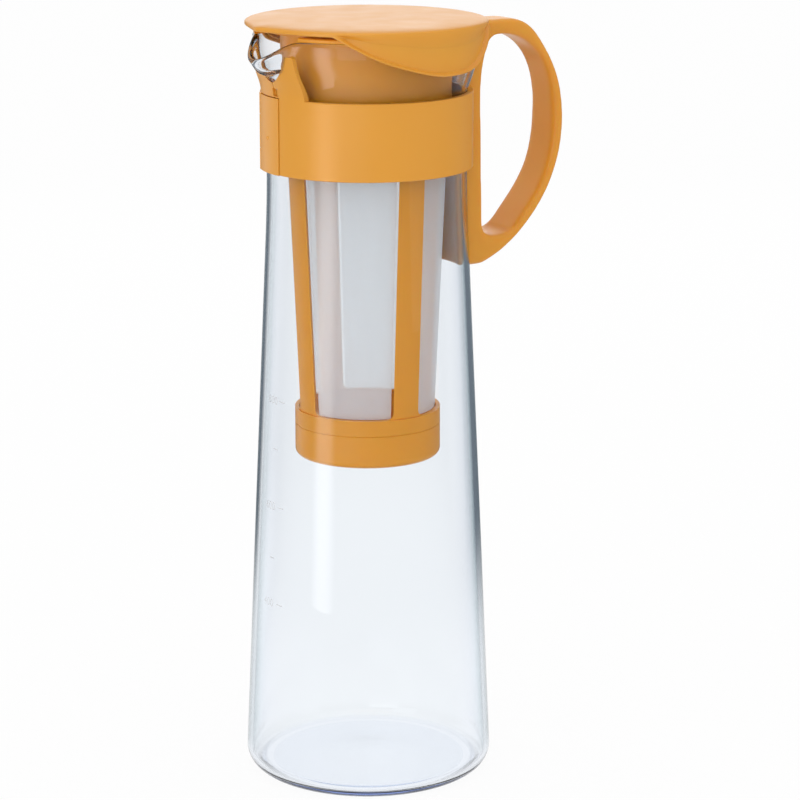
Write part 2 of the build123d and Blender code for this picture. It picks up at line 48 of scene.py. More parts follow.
IMAGE_SIZE = 800.0                # pixels, the photograph's frame
FOCAL_PIXELS = 3041.7
SENSOR_WIDTH = 36.0
CAMERA_AZIMUTH = -33.0            # degrees; 0 looks along +Y
CAMERA_PITCH_DOWN = 13.81
CAMERA_DISTANCE = 1154.1          # along the ground, from the jug's axis
CAMERA_HEIGHT = 432.2
CAMERA_SIDESTEP = 12.67           # to the right of the jug's axis
CAMERA_CLIP = 20000.0


def around_camera(side_angle):
    """Unit vector on the ground from the jug towards the camera, turned by an angle to the camera's left."""
    turn = math.radians(CAMERA_AZIMUTH - 90.0 - side_angle)
    return Vector((math.cos(turn), math.sin(turn), 0.0))


def make_camera():
    """The photograph's view: a long lens, a little above the jug and tilted down."""
    data = bpy.data.cameras.new("camera")
    data.sensor_width = SENSOR_WIDTH
    data.lens = SENSOR_WIDTH * FOCAL_PIXELS / IMAGE_SIZE
    data.clip_end = CAMERA_CLIP * MM
    camera = bpy.data.objects.new("camera", data)
    towards = around_camera(0.0)
    right = Vector((-towards.y, towards.x, 0.0))
    place = towards * CAMERA_DISTANCE + right * CAMERA_SIDESTEP + Vector((0.0, 0.0, CAMERA_HEIGHT))
    camera.location = place * MM
    camera.rotation_euler = (math.radians(90.0 - CAMERA_PITCH_DOWN), 0.0, math.radians(CAMERA_AZIMUTH))
    bpy.context.scene.collection.objects.link(camera)
    bpy.context.scene.camera = camera


make_camera()

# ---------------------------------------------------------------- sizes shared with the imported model, mm

FOOT_RADIUS = 48.87
FOOT_CORNER = 8.0
SHOULDER_RADIUS = 39.8
SHOULDER_HEIGHT = 200.0
NECK_RADIUS = 38.5
NECK_LOW_HEIGHT = 240.0
NECK_TOP_HEIGHT = 270.5
RIM_HEIGHT = 292.6
GLASS_WALL = 2.0
GLASS_FLOOR = 4.0
FLARE = ((0.0, 0.0), (7.0, 2.2), (14.4, 4.2), (22.1, 4.9))      # rise and spread from the neck

LID_RADIUS = 46.3
LID_TIP_RADIUS = 5.0
LID_TIP_REACH = 44.0
LID_BOTTOM = 295.6
LID_TOP = 298.2
SKIRT_WALL = 1.2
SKIRT_DRAFT = 0.6
SKIRT_DEPTH = 15.7
SKIRT_EDGE = ((-34.6, 0.0), (-25.0, 6.6), (-10.0, 12.5), (9.0, 15.7), (26.6, 12.3), (40.6, 0.0))

WINDOW_BOTTOM = 147.0
WINDOW_TOP = 244.0
BASKET_LOW_RADIUS = 27.6
BASKET_HIGH_RADIUS = 31.9
RIB_WIDTH = 11.2
MESH_INSET = 1.4
WINDOW_ANGLES = (225, 315, 45, 135)
WINDOW_SPAN = 90.0                # degrees from the middle of one rib to the next

# ---------------------------------------------------------------- mesh helpers


def smoothstep(value):
    """0 to 1, with flat ends."""
    t = np.clip(value, 0.0, 1.0)
    return t * t * (3.0 - 2.0 * t)


def cubic(t, span, start, end, start_slope, end_slope):
    """Curve between two values with a given slope at each; t is 0 to 1 along the span."""
    return (
        (2 * t**3 - 3 * t**2 + 1) * start + (t**3 - 2 * t**2 + t) * span * start_slope
        + (3 * t**2 - 2 * t**3) * end + (t**3 - t**2) * span * end_slope
    )


def curve_through(points, at):
    """Smooth curve through unevenly spaced (x, y) points, read at x."""
    xs = np.array([p[0] for p in points], float)
    ys = np.array([p[1] for p in points], float)
    slopes = np.gradient(ys, xs)
    at = np.clip(at, xs[0], xs[-1])
    i = np.clip(np.searchsorted(xs, at, side="right") - 1, 0, len(xs) - 2)
    span = xs[i + 1] - xs[i]
    return cubic((at - xs[i]) / span, span, ys[i], ys[i + 1], slopes[i], slopes[i + 1])


def link_new(name, data):
    """A new object in the scene."""
    thing = bpy.data.objects.new(name, data)
    bpy.context.scene.collection.objects.link(thing)
    return thing


def final_mesh(thing):
    """An object's mesh with its modifiers or its curve worked out; the object itself goes."""
    mesh = bpy.data.meshes.new_from_object(thing.evaluated_get(bpy.context.evaluated_depsgraph_get()))
    bpy.data.objects.remove(thing)
    return mesh


def shade_smooth(mesh):
    """Smooth shading on every face."""
    mesh.polygons.foreach_set("use_smooth", [True] * len(mesh.polygons))


def new_mesh(name, points, faces, uvs=None):
    """Mesh object from points in millimetres, smooth shaded."""
    mesh = bpy.data.meshes.new(name)
    mesh.from_pydata([tuple(float(c) * MM for c in p) for p in points], [], faces)
    shade_smooth(mesh)
    if uvs is not None:
        layer = mesh.uv_layers.new(name="UVMap")
        for loop in mesh.loops:
            layer.data[loop.index].uv = uvs[loop.vertex_index]
    mesh.validate()
    mesh.update()
    return link_new(name, mesh)


def closed_skin(name, rows):
    """Closed surface from rows of points that go round; the first and the last row close to one point."""
    rows = np.asarray(rows, float)
    count, around = rows.shape[0], rows.shape[1]
    points = [rows[0].mean(axis=0)]
    points += [p for row in rows[1:-1] for p in row]
    points.append(rows[-1].mean(axis=0))
    last = len(points) - 1
    faces = []
    for j in range(around):
        k = (j + 1) % around
        faces.append((0, 1 + k, 1 + j))
        for i in range(count - 3):
            low, high = 1 + i * around, 1 + (i + 1) * around
            faces.append((low + j, low + k, high + k, high + j))
        base = 1 + (count - 3) * around
        faces.append((last, base + j, base + k))
    return new_mesh(name, points, faces)


def angles_round(fine_half, fine_step, coarse_step):
    """Angles in degrees right round, from the spout's side (0), with a finer step near the spout."""
    fine = np.arange(-fine_half, fine_half + TINY, fine_step)
    rest = 360.0 - 2 * fine_half
    steps = int(rest / coarse_step)
    coarse = fine_half + rest * np.arange(1, steps) / steps
    return np.concatenate([fine, coarse])


# ---------------------------------------------------------------- node helpers


def add_node(tree, kind, sockets=(), **settings):
    """A new node. Each socket named here takes a plain value, or a link from another node's output."""
    node = tree.nodes.new(kind)
    for name, value in settings.items():
        setattr(node, name, value)
    for socket, value in dict(sockets).items():
        if isinstance(value, bpy.types.NodeSocket):
            tree.links.new(value, node.inputs[socket])
        else:
            node.inputs[socket].default_value = value
    return node


def opaque(tone):
    """A tone as a socket's colour."""
    return (*tone, 1.0)


def calculate(tree, operation, first, second, clamp=False):
    """The result of a math operation; either value may be a plain number."""
    sockets = {0: first, 1: second}
    node = add_node(tree, "ShaderNodeMath", sockets, operation=operation, use_clamp=clamp)
    return node.outputs["Value"]


def larger(tree, first, second):
    """The larger of two values."""
    return calculate(tree, "MAXIMUM", first, second)


def product(tree, first, second):
    """Two values multiplied."""
    return calculate(tree, "MULTIPLY", first, second)


def remainder(tree, value):
    """What is left of 1."""
    return calculate(tree, "SUBTRACT", 1.0, value, clamp=True)


def ranged(tree, value, source, target, **settings):
    """Maps a value from one range to another."""
    sockets = {
        "Value": value,
        "From Min": source[0], "From Max": source[1],
        "To Min": target[0], "To Max": target[1],
    }
    return add_node(tree, "ShaderNodeMapRange", sockets, **settings).outputs["Result"]


def soft_step(tree, value, start, full):
    """0 below the start, 1 past the full value, smooth between."""
    return ranged(tree, value, (start, full), (0.0, 1.0), interpolation_type="SMOOTHSTEP")


def tones_along(tree, value, stops):
    """A colour read from a row of stops, each a place and a tone."""
    ramp = add_node(tree, "ShaderNodeValToRGB", {"Fac": value})
    elements = ramp.color_ramp.elements
    for element, (place, tone) in zip(elements, (stops[0], stops[-1])):
        element.position = place
        element.color = opaque(tone)
    for place, tone in stops[1:-1]:
        elements.new(place).color = opaque(tone)
    return ramp.outputs["Color"]


def parts_of(tree, vector):
    """The outputs X, Y and Z of a vector."""
    return add_node(tree, "ShaderNodeSeparateXYZ", {"Vector": vector}).outputs


def mix_shaders(tree, share, first, second):
    """The first shader at share 0, the second at share 1."""
    return add_node(tree, "ShaderNodeMixShader", {"Fac": share, 1: first, 2: second}).outputs["Shader"]


def glowing(tree, tone):
    """A surface that only glows, at strength 1."""
    return add_node(tree, "ShaderNodeEmission", {"Color": opaque(tone)}).outputs["Emission"]


# ---------------------------------------------------------------- materials

NOISE_RANGE = (0.3, 0.7)          # what a noise texture mostly keeps to

ORANGE_TONES = ((0.69, 0.300, 0.032), (0.725, 0.320, 0.036))
# the strainer's orange is the same plastic painted brighter and redder: painted light for its pieces in the
# shade inside the glass
STRAINER_BRIGHTENED_TONES = ((0.80, 0.318, 0.018), (0.83, 0.334, 0.022))
PLASTIC_IOR = 1.5
PLASTIC_GLOSS = 0.4               # specular level
PLASTIC_ROUGHNESS = (0.30, 0.37)
PLASTIC_DEPTH = 2.5               # how far light goes into the plastic
PLASTIC_SPREAD = (1.0, 0.45, 0.12)    # shares of that depth for red, green and blue
FLOW_SCALE, SATIN_SCALE, GRAIN_SCALE = 18.0, 90.0, 1400.0     # features per metre
GRAIN_HEIGHT = 0.002

GLASS_IOR = 1.38
OUTLINE_SHADE_TONES = (                    # share of light that the surface mirrors, and the glass's tint there: a faint real tint face on, painted shade towards the outline
    (0.026, (0.988, 1.0, 1.0)), (0.045, (0.99, 1.0, 1.0)), (0.09, (0.98, 0.992, 1.0)),
    (0.165, (0.93, 0.965, 0.975)), (0.40, (0.60, 0.67, 0.68)), (1.0, (0.22, 0.26, 0.26)),
)
OUTLINE_SHADE_HEIGHTS = (4.0, 12.0)   # the painted outline shade comes in between these heights, above the foot
GLASS_SHADOW = (0.98, 0.99, 0.99)
GLASS_BODY = (0.25, 0.42, 0.80)
GLASS_DENSITY = 24.0              # per metre
RIPPLE_SCALE, RIPPLE_HEIGHT = 22.0, 0.05
RIPPLE_STRETCH = (1.0, 1.0, 0.35)

CLOTH_TONES = ((0.88, 0.93, 0.97), (0.92, 0.965, 0.99))
CLOTH_ROUGHNESS = 0.45
CLOTH_SHEEN = 0.2
CLOTH_THROUGH = (0.90, 0.94, 0.98)
CLOTH_THROUGH_SHARE = 0.30
THREAD_SCALE = 0.9                # a thread every 0.35 mm
THREAD_HEIGHT = 0.05
HOLE_PLACES, HOLE_SHARES = (0.25, 0.75), (0.70, 0.20)     # how open the cloth is, beside and on a thread

STEEL_TONES = ((0.55, 0.55, 0.57), (0.68, 0.68, 0.70))
STEEL_ROUGHNESS = (0.22, 0.34)
WIRE_SCALE, WIRE_STRETCH = 900.0, (1.0, 1.0, 0.05)

INK_TONES = ((0.50, 0.50, 0.50), (0.68, 0.68, 0.68))
INK_ROUGHNESS = 0.5
INK_COVER = (0.25, 0.75)
INK_TONE_SCALE, INK_WEAR_SCALE = 700.0, 900.0


def new_material(name):
    """A material with an empty node tree."""
    material = bpy.data.materials.new(name)
    material.use_nodes = True
    material.node_tree.nodes.clear()
    return material, material.node_tree


def show(tree, **sockets):
    """Ends a material: what its Surface shows, and its Volume where it has one."""
    add_node(tree, "ShaderNodeOutputMaterial", sockets)


def noise_at(tree, scale, detail=3.0, stretch=(1.0, 1.0, 1.0)):
    """Noise in the object's own space; scale is features per metre."""
    place = add_node(tree, "ShaderNodeTexCoord").outputs["Object"]
    mapping = add_node(tree, "ShaderNodeMapping", {"Vector": place, "Scale": stretch})
    sockets = {"Vector": mapping.outputs["Vector"], "Scale": scale, "Detail": detail}
    return add_node(tree, "ShaderNodeTexNoise", sockets).outputs["Fac"]


def spread(tree, noise, target):
    """Maps a noise to a range."""
    return ranged(tree, noise, NOISE_RANGE, target)


def two_tones(tree, noise, tones):
    """A colour between two tones."""
    return tones_along(tree, noise, tuple(zip(NOISE_RANGE, tones)))


def bump_from(tree, value, height):
    """Bump of a height in millimetres."""
    sockets = {"Height": value, "Strength": 1.0, "Distance": height * MM}
    return add_node(tree, "ShaderNodeBump", sockets).outputs["Normal"]


def orange_plastic(name, tones, milky):
    """Moulded amber orange polypropylene: semi-gloss, a little milky, faint flow tone, fine moulded grain."""
    material, tree = new_material(name)
    plastic = add_node(tree, "ShaderNodeBsdfPrincipled", {
        "Base Color": two_tones(tree, noise_at(tree, FLOW_SCALE), tones),
        "Roughness": spread(tree, noise_at(tree, SATIN_SCALE), PLASTIC_ROUGHNESS),
        "IOR": PLASTIC_IOR,
        "Specular IOR Level": PLASTIC_GLOSS,
        "Subsurface Weight": milky,
        "Subsurface Radius": PLASTIC_SPREAD,
        "Subsurface Scale": PLASTIC_DEPTH * MM,
        "Normal": bump_from(tree, noise_at(tree, GRAIN_SCALE, detail=2.0), GRAIN_HEIGHT),
    })
    show(tree, Surface=plastic.outputs["BSDF"])
    return material


def above_foot(tree):
    """1 on the jug's walls, 0 on its foot and floor."""
    place = add_node(tree, "ShaderNodeTexCoord").outputs["Object"]
    heights = tuple(height * MM for height in OUTLINE_SHADE_HEIGHTS)
    return ranged(tree, parts_of(tree, place)["Z"], heights, (0.0, 1.0))


def outline_painted_shade(tree):
    """Glass tint: a faint real tint face on, turning to painted shade, dark grey-green, towards its outline.
    """
    mirrored = add_node(tree, "ShaderNodeFresnel", {"IOR": GLASS_IOR}).outputs["Fac"]
    return tones_along(tree, product(tree, mirrored, above_foot(tree)), OUTLINE_SHADE_TONES)


def clear_glass():
    """Blown borosilicate: clear, with a faint body colour, painted shade towards its outline, a slight
    ripple, and a pale shadow.
    """
    material, tree = new_material("clear_glass")
    ripple = noise_at(tree, RIPPLE_SCALE, detail=1.0, stretch=RIPPLE_STRETCH)
    glass = add_node(tree, "ShaderNodeBsdfPrincipled", {
        # base colour: painted shade, dark grey-green, towards the glass's outline
        "Base Color": outline_painted_shade(tree),
        "Roughness": 0.0,
        "IOR": GLASS_IOR,
        "Transmission Weight": 1.0,
        "Normal": bump_from(tree, ripple, RIPPLE_HEIGHT),
    })
    pale = add_node(tree, "ShaderNodeBsdfTransparent", {"Color": opaque(GLASS_SHADOW)})
    in_shadow = add_node(tree, "ShaderNodeLightPath").outputs["Is Shadow Ray"]
    sockets = {"Color": opaque(GLASS_BODY), "Density": GLASS_DENSITY}
    body = add_node(tree, "ShaderNodeVolumeAbsorption", sockets)
    surface = mix_shaders(tree, in_shadow, glass.outputs["BSDF"], pale.outputs["BSDF"])
    show(tree, Surface=surface, Volume=body.outputs["Volume"])
    return material


def filter_mesh():
    """Fine white woven cloth: threads from the sheet's own UVs (in millimetres), light through the holes."""
    material, tree = new_material("mesh_cloth")
    place = add_node(tree, "ShaderNodeUVMap").outputs["UV"]
    threads = [
        add_node(
            tree, "ShaderNodeTexWave", {"Vector": place, "Scale": THREAD_SCALE, "Distortion": 0.0},
            wave_type="BANDS", bands_direction=direction,
        ).outputs["Fac"]
        for direction in ("X", "Y")
    ]
    weave = larger(tree, *threads)
    thread = add_node(tree, "ShaderNodeBsdfPrincipled", {
        "Base Color": two_tones(tree, weave, CLOTH_TONES),
        "Roughness": CLOTH_ROUGHNESS,
        "Sheen Weight": CLOTH_SHEEN,
        "Normal": bump_from(tree, weave, THREAD_HEIGHT),
    })
    through = add_node(tree, "ShaderNodeBsdfTranslucent", {"Color": opaque(CLOTH_THROUGH)})
    cloth = mix_shaders(tree, CLOTH_THROUGH_SHARE, thread.outputs["BSDF"], through.outputs["BSDF"])
    hole = add_node(tree, "ShaderNodeBsdfTransparent").outputs["BSDF"]
    open_share = ranged(tree, weave, HOLE_PLACES, HOLE_SHARES)
    show(tree, Surface=mix_shaders(tree, open_share, cloth, hole))
    return material


def drawn_wire():
    """Plain steel wire with faint drawing lines along it."""
    material, tree = new_material("pin_steel")
    lines = noise_at(tree, WIRE_SCALE, detail=2.0, stretch=WIRE_STRETCH)
    steel = add_node(tree, "ShaderNodeBsdfPrincipled", {
        "Base Color": two_tones(tree, lines, STEEL_TONES),
        "Metallic": 1.0,
        "Roughness": spread(tree, lines, STEEL_ROUGHNESS),
    })
    show(tree, Surface=steel.outputs["BSDF"])
    return material


def printed_ink():
    """Pale grey ceramic ink of the graduations, worn a little thin in places."""
    material, tree = new_material("printed_ink")
    ink = add_node(tree, "ShaderNodeBsdfPrincipled", {
        "Base Color": two_tones(tree, noise_at(tree, INK_TONE_SCALE), INK_TONES),
        "Roughness": INK_ROUGHNESS,
        "Alpha": spread(tree, noise_at(tree, INK_WEAR_SCALE), INK_COVER),
    })
    show(tree, Surface=ink.outputs["BSDF"])
    return material


ORANGE = orange_plastic("orange_plastic", ORANGE_TONES, milky=0.08)
HANDLE_ORANGE = orange_plastic("orange_handle", ORANGE_TONES, milky=0.5)
# painted light: a brightened copy of the orange for the strainer's pieces, which sit in shade inside the
# glass
STRAINER_PAINTED_LIGHT_ORANGE = orange_plastic("orange_strainer_painted_light", STRAINER_BRIGHTENED_TONES, milky=0.2)
GLASS = clear_glass()
CLOTH = filter_mesh()
STEEL = drawn_wire()
INK = printed_ink()


def dress(thing, material):
    """Gives a piece its material."""
    thing.data.materials.clear()
    thing.data.materials.append(material)


# ---------------------------------------------------------------- glass jug

JUG_ANGLES = (36.0, 0.8, 2.5)     # degrees: half of the spout's side, its step, and the step elsewhere
FOOT_SHARES = (0.0, 0.2, 0.4, 0.6, 0.75, 0.86, 0.94)      # rows under the foot, from its middle outward
FOOT_HOLLOW, HOLLOW_END = 0.9, 0.9    # how far the foot rises at its middle, and the share where that ends
HOLLOW_THINNING = 0.6             # how much thinner the floor is there, as a share of the rise
CORNER_STEPS = 12
CORNER_THINNING = 1.7             # how soon along the corner the floor's thickness turns into the wall's
WALL_START = 12.0                 # the lowest row on the wall
ROW_GAP = 2.0                     # what the rows keep from the shoulder and from the flare
WALL_ROWS, SHOULDER_ROWS, FLARE_ROWS = 32, 18, 27
UPRIGHT_ROW = 30                  # a row that is on the wall

SPOUT_STATIONS = (0.0, 1.0 / 3.0, 2.0 / 3.0, 1.0)   # from the neck's top to the rim
SPOUT_REACH = (33.5, 35.4, 36.9, 36.5)
SPOUT_RADIUS = (4.5, 6.7, 10.0, 13.4)
SPOUT_TILT = (0.0, 12.0, 28.0, 44.0)
SPOUT_FALL_START = (36.0, 36.5, 38.4, 41.9)
SPOUT_BLEND = 6.0                 # softness of the crease between spout and neck
SPOUT_BEND = 1.2                  # softness of the bend where the lip starts to fall
FALL_GROWTH = 1.5                 # how soon up the flare the spout's fall is complete
SEARCH_REACH, SEARCH_ROUNDS = (20.0, 70.0), 40    # the flare's reach is found by halving this range
LIP_RADIUS = 1.25                 # fire-polished edge
LIP_START = 0.75                  # the station from which the wall thickens to the lip
LIP_BENDS = np.radians(np.linspace(22.5, 157.5, 7))


def wall_radius(height):
    """Outer radius of the jug's body below the flare."""
    lean = (SHOULDER_RADIUS - FOOT_RADIUS) / SHOULDER_HEIGHT
    span = NECK_LOW_HEIGHT - SHOULDER_HEIGHT
    t = np.clip((height - SHOULDER_HEIGHT) / span, 0.0, 1.0)
    bend = cubic(t, span, SHOULDER_RADIUS, NECK_RADIUS, lean, 0.0)
    return np.where(height < SHOULDER_HEIGHT, FOOT_RADIUS + lean * height, bend)


def spout_value(values, station):
    """One of the spout's sizes at a storey of the flare."""
    return float(curve_through(tuple(zip(SPOUT_STATIONS, values)), station))


def spout_plan(station, turn):
    """Reach of the outer face from the axis round one storey of the flare, spout included."""
    height = station * (RIM_HEIGHT - NECK_TOP_HEIGHT)
    base = NECK_RADIUS + curve_through(FLARE, height)
    centre = spout_value(SPOUT_REACH, station)
    radius = spout_value(SPOUT_RADIUS, station)
    blend = SPOUT_BLEND * smoothstep(station)
    low, high = (np.full_like(turn, reach) for reach in SEARCH_REACH)
    for _ in range(SEARCH_ROUNDS):
        mid = 0.5 * (low + high)
        x, y = mid * np.cos(turn), mid * np.sin(turn)
        to_neck = np.hypot(x, y) - base
        to_spout = np.hypot(x - centre, y) - radius
        overlap = np.clip(blend - np.abs(to_neck - to_spout), 0.0, None)
        field = np.minimum(to_neck, to_spout) - overlap**2 / (4 * max(blend, TINY))
        low = np.where(field < 0, mid, low)
        high = np.where(field < 0, high, mid)
    return 0.5 * (low + high)


def outer_glass_rows(angles):
    """Rows of the jug's outer face from the middle of the foot to the rim, and the wall at each row."""
    turn = np.radians(angles)
    rows, walls = [], []

    def ring(reach, height, wall):
        level = height + np.zeros_like(turn)
        rows.append(np.stack([-reach * np.cos(turn), reach * np.sin(turn), level], axis=1))
        walls.append(wall)

    lean = math.atan((FOOT_RADIUS - SHOULDER_RADIUS) / SHOULDER_HEIGHT)
    corner_x = FOOT_RADIUS - FOOT_CORNER * math.tan(math.radians(45.0) + lean / 2)
    for share in FOOT_SHARES:
        hollow = FOOT_HOLLOW * (1.0 - smoothstep(share / HOLLOW_END))
        ring(corner_x * share, hollow, GLASS_FLOOR - hollow * HOLLOW_THINNING)
    for step in range(CORNER_STEPS + 1):
        along = step / CORNER_STEPS
        bend = along * (math.radians(90.0) + lean)
        wall = GLASS_FLOOR + (GLASS_WALL - GLASS_FLOOR) * smoothstep(along * CORNER_THINNING)
        ring(corner_x + FOOT_CORNER * math.sin(bend), FOOT_CORNER * (1.0 - math.cos(bend)), wall)
    for start, end, count in (
        (WALL_START, SHOULDER_HEIGHT - ROW_GAP, WALL_ROWS),
        (SHOULDER_HEIGHT + ROW_GAP, NECK_TOP_HEIGHT - ROW_GAP, SHOULDER_ROWS),
    ):
        for height in np.linspace(start, end, count):
            ring(wall_radius(height), height, GLASS_WALL)
    rise = RIM_HEIGHT - LIP_RADIUS - NECK_TOP_HEIGHT
    for station in np.linspace(0.0, 1.0, FLARE_ROWS):
        reach = spout_plan(station, turn)
        tilt = math.tan(math.radians(spout_value(SPOUT_TILT, station)))
        outward = reach * np.cos(turn) - spout_value(SPOUT_FALL_START, station)
        fall = tilt * SPOUT_BEND * np.log1p(np.exp(outward / SPOUT_BEND))
        height = NECK_TOP_HEIGHT + rise * station - fall * smoothstep(station * FALL_GROWTH)
        thicken = smoothstep((station - LIP_START) / (1.0 - LIP_START))
        ring(reach, height, GLASS_WALL + (2 * LIP_RADIUS - GLASS_WALL) * thicken)
    return np.array(rows), np.array(walls)


def unit(vectors):
    """Vectors brought to length 1, along their last axis."""
    return vectors / np.maximum(np.linalg.norm(vectors, axis=-1, keepdims=True), TINY)


def face_normals(rows):
    """Outward normals of a surface given as rows that go round."""
    around = np.roll(rows, -1, axis=1) - np.roll(rows, 1, axis=1)
    normals = unit(np.cross(np.gradient(rows, axis=0), around))
    outward = rows[UPRIGHT_ROW] * np.array([1.0, 1.0, 0.0])
    normals *= np.sign(np.sum(normals[UPRIGHT_ROW] * outward, axis=1).mean())
    normals[0] = normals[1] = (0.0, 0.0, -1.0)
    return normals


def make_glass():
    """The jug as one closed wall: outer face, fire-polished lip, inner face."""
    rows, walls = outer_glass_rows(angles_round(*JUG_ANGLES))
    normals = face_normals(rows)
    inner = rows - normals * walls[:, None, None]
    along = unit(rows[-1] - rows[-2])
    along = unit(along - normals[-1] * np.sum(along * normals[-1], axis=1, keepdims=True))
    middle = (rows[-1] + inner[-1]) / 2
    lip = [
        middle + LIP_RADIUS * (math.cos(bend) * normals[-1] + math.sin(bend) * along)
        for bend in LIP_BENDS
    ]
    jug = closed_skin("jug_glass", np.concatenate([inner, np.array(lip)[::-1], rows[::-1]]))
    dress(jug, GLASS)
    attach(jug, "jug")
    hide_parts("glass_carafe")


make_glass()

# ---------------------------------------------------------------- lid

LID_ANGLES = (60.0, 1.25, 1.25)   # degrees, as for the jug
LID_CROWN = 1.5                   # how far the top rolls down to its edge
LID_FLATNESS = 12.0               # the higher, the nearer to the edge the roll starts
LID_ROUNDING = 2.1                # the higher, the steeper the roll ends
LID_SHARES = (0.0, 0.3, 0.5, 0.64, 0.74, 0.81, 0.86, 0.9, 0.93, 0.955, 0.973, 0.986, 0.995, 1.0)
SKIRT_FADE = 3.0                  # the skirt has its full section where it is at least this deep
SKIRT_SHARES = (0.12, 0.25, 0.4, 0.55, 0.7, 0.8, 0.85, 0.88, 0.91, 0.94, 0.97, 1.0)
BEAD_HEIGHT = 2.0
BEAD_CREST = 0.15                 # share of its height at which the bead is fullest
BEAD_PROUD = 2.5
BEAD_THICK = 0.6
BEAD_INSET = 1.7                  # how far the skirt above the bead stands in
INSET_GROWTH = 2.0                # the inset is complete at one over this of the way down the skirt
BEAD_STEPS = 9
INNER_INSET = 0.5                 # how much further in the lid's underside starts than the skirt's wall
INNER_SHARES = (0.2, 0.4, 0.6, 0.8, 1.0)
UNDERSIDE_SHARES = (0.9, 0.7, 0.45, 0.2, 0.0)


def lid_reach(turn):
    """Plan of the lid: round, drawn out to a tip over the spout. turn 0 is the spout's side."""
    tangent = math.acos((LID_RADIUS - LID_TIP_RADIUS) / LID_TIP_REACH)
    away = np.abs(turn)
    tip_half = np.clip(LID_TIP_RADIUS**2 - (LID_TIP_REACH * np.sin(away)) ** 2, 0.0, None)
    round_tip = LID_TIP_REACH * np.cos(away) + np.sqrt(tip_half)
    straight = LID_RADIUS / np.maximum(np.cos(away - tangent), TINY)
    tip_angle = math.atan2(
        LID_TIP_RADIUS * math.sin(tangent), LID_TIP_REACH + LID_TIP_RADIUS * math.cos(tangent)
    )
    reach = np.where(away > tangent, LID_RADIUS, straight)
    return np.where(away < tip_angle, round_tip, reach)


def skirt_depth(turn):
    """How far the skirt hangs below the lid's plate, round the lid."""
    x = -LID_RADIUS * np.cos(turn)
    inside = (x > SKIRT_EDGE[0][0]) & (x < SKIRT_EDGE[-1][0])
    return np.where(inside, np.clip(curve_through(SKIRT_EDGE, x), 0.0, None), 0.0)


def make_lid():
    """Plate, two skirts and the bead along their lower edge, as one moulded skin."""
    turn = np.radians(angles_round(*LID_ANGLES))
    reach = lid_reach(turn)
    depth = skirt_depth(turn)
    full = smoothstep(depth / SKIRT_FADE)
    rows = []

    def ring(radius, height):
        level = height + np.zeros_like(turn)
        rows.append(np.stack([-radius * np.cos(turn), radius * np.sin(turn), level], axis=1))

    for share in LID_SHARES:
        fall = 1.0 - (1.0 - share**LID_FLATNESS) ** (1.0 / LID_ROUNDING)
        ring(reach * share, LID_TOP - LID_CROWN * fall)
    shoulder = LID_TOP - LID_CROWN
    bottom = LID_BOTTOM - depth
    draft = SKIRT_DRAFT * depth / SKIRT_DEPTH
    half_wall = (SKIRT_WALL + BEAD_THICK * full) / 2
    edge_height = bottom + half_wall
    for share in SKIRT_SHARES:
        height = shoulder + (edge_height - shoulder) * share
        to_edge = np.clip((height - bottom) / BEAD_HEIGHT, 0.0, None)
        proud = BEAD_PROUD * full * (1.0 - smoothstep((to_edge - BEAD_CREST) / (1.0 - BEAD_CREST)))
        lean = draft * np.clip((LID_BOTTOM - height) / np.maximum(depth, 1.0), 0.0, 1.0)
        inset = BEAD_INSET * full * smoothstep(INSET_GROWTH * share)
        ring(reach - lean + proud - inset, height)
    middle = reach - draft + (BEAD_PROUD - BEAD_INSET) * full - half_wall
    end = math.radians(90.0) * (1.0 + full)
    for share in np.linspace(0.1, 1.0, BEAD_STEPS):
        bend = end * share
        ring(middle + half_wall * np.cos(bend), edge_height - half_wall * np.sin(bend))
    foot = middle + half_wall * np.cos(end)
    foot_height = edge_height - half_wall * np.sin(end)
    inner_top = reach - SKIRT_WALL - INNER_INSET
    for share in INNER_SHARES:
        ring(foot + (inner_top - foot) * share, foot_height + (LID_BOTTOM - foot_height) * share)
    for share in UNDERSIDE_SHARES:
        ring(inner_top * share, LID_BOTTOM)
    lid = closed_skin("lid_shell", np.array(rows))
    dress(lid, ORANGE)
    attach(lid, "lid")
    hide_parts("lid", "lid_skirt_1", "lid_skirt_2")


make_lid()

# ---------------------------------------------------------------- strainer mesh

MESH_ACROSS, MESH_UP = 24, 40     # faces in each sheet
MESH_MARGIN = 0.15                # between a sheet and its window's frame


def basket_radius(height):
    """Outer radius of the strainer's basket."""
    share = (height - WINDOW_BOTTOM) / (WINDOW_TOP - WINDOW_BOTTOM)
    return BASKET_LOW_RADIUS + share * (BASKET_HIGH_RADIUS - BASKET_LOW_RADIUS)


def make_mesh_panel(number, facing):
    """One window's cloth: a curved sheet between the ribs, with millimetre UVs."""
    points, uvs, faces = [], [], []
    for j in range(MESH_UP + 1):
        height = WINDOW_BOTTOM + MESH_MARGIN + (WINDOW_TOP - WINDOW_BOTTOM - 2 * MESH_MARGIN) * j / MESH_UP
        radius = basket_radius(height) - MESH_INSET
        half = math.radians(WINDOW_SPAN / 2) - math.asin((RIB_WIDTH / 2 + MESH_MARGIN) / radius)
        for i in range(MESH_ACROSS + 1):
            aside = half * (2.0 * i / MESH_ACROSS - 1.0)
            turn = math.radians(facing) + aside
            points.append((radius * math.cos(turn), radius * math.sin(turn), height))
            uvs.append((radius * aside, height))
    for j in range(MESH_UP):
        for i in range(MESH_ACROSS):
            a = j * (MESH_ACROSS + 1) + i
            faces.append((a, a + 1, a + MESH_ACROSS + 2, a + MESH_ACROSS + 1))
    panel = new_mesh(f"mesh_cloth_{number}", points, faces, uvs)
    dress(panel, CLOTH)
    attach(panel, "strainer")
    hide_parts(f"mesh_panel_{number}")


for panel_number, panel_facing in enumerate(WINDOW_ANGLES, 1):
    make_mesh_panel(panel_number, panel_facing)

# ---------------------------------------------------------------- graduations on the glass

